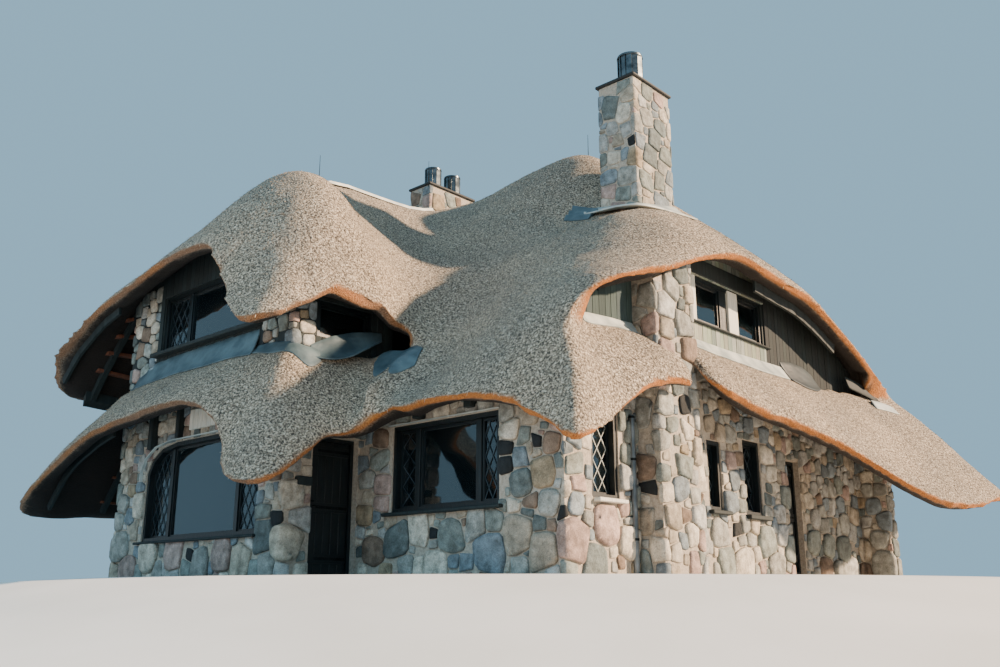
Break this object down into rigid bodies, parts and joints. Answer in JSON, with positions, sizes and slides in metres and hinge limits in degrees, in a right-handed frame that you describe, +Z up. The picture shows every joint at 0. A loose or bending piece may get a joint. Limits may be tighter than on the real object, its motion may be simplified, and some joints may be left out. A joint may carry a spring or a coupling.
{
  "type": "thatched cottage",
  "caption": "Two-storey stone cottage with a flowing thatched roof, eye-shaped upper openings, stone chimneys, windows and hinged doors.",
  "frame": {"origin": "on the underside of the ground floor, near the middle of the house", "axes": "+X along the front to the right, +Y into the house, +Z up"},
  "size_m": [13.8251, 15.1363, 10.09],
  "materials": {
    "thatch": "rough",
    "stone": "rough",
    "boards": "weathered",
    "timber": "satin",
    "floor": "satin",
    "lead": "weathered",
    "metal": "satin",
    "window": "clear"
  },
  "bodies": {
    "house": {"thatch_main": "thatch", "thatch_skirt_left": "thatch", "thatch_corner": "thatch", "thatch_skirt_right": "thatch", "chimney_stack_right": "stone", "chimney_cap_right": "metal", "chimney_saddle_right": "lead", "chimney_stack_left": "stone", "chimney_cap_left": "metal", "ridge_cap_wing": "lead", "apron_left": "lead", "apron_corner": "lead", "apron_right": "lead", "rafters_left": "timber", "wall_wing_front": "stone", "wall_front": "stone", "wall_left": "stone", "wall_back": "stone", "wall_right": "stone", "wall_return_front": "stone", "wall_return_back": "stone", "wall_over_front_door": "stone", "wall_setback_front": "stone", "wall_setback_back": "stone", "wall_over_side_door": "stone", "porch_beam": "timber", "pier_right": "stone", "ground_floor": "floor", "upper_floor": "floor", "upper_wall_wing_front": "boards", "upper_wall_return": "boards", "upper_wall_left": "boards", "upper_wall_right": "boards", "window_wing": "window", "window_front": "window", "window_corner": "window", "window_side_near": "window", "window_side_far": "window", "window_left_near": "window", "window_left_far": "window", "window_back_left": "window", "window_back_right": "window", "upper_window_wing": "window", "upper_window_return": "window", "upper_window_right": "window", "upper_window_left": "window", "front_door_frame": "timber", "side_door_frame": "timber", "downpipe": "metal"},
    "front_door": {"front_door_leaf": "timber"},
    "side_door": {"side_door_leaf": "timber"}
  },
  "joints": [
    {"name": "front_door_hinge", "type": "hinge", "parent": "house", "child": "front_door", "pos_m": [0.252, -5.11, 1.075], "axis": [0, 0, -1], "range_deg": [0, 100]},
    {"name": "side_door_hinge", "type": "hinge", "parent": "house", "child": "side_door", "pos_m": [3.802, 2.89, 1.2], "axis": [0, 0, -1], "range_deg": [0, 100]}
  ]
}
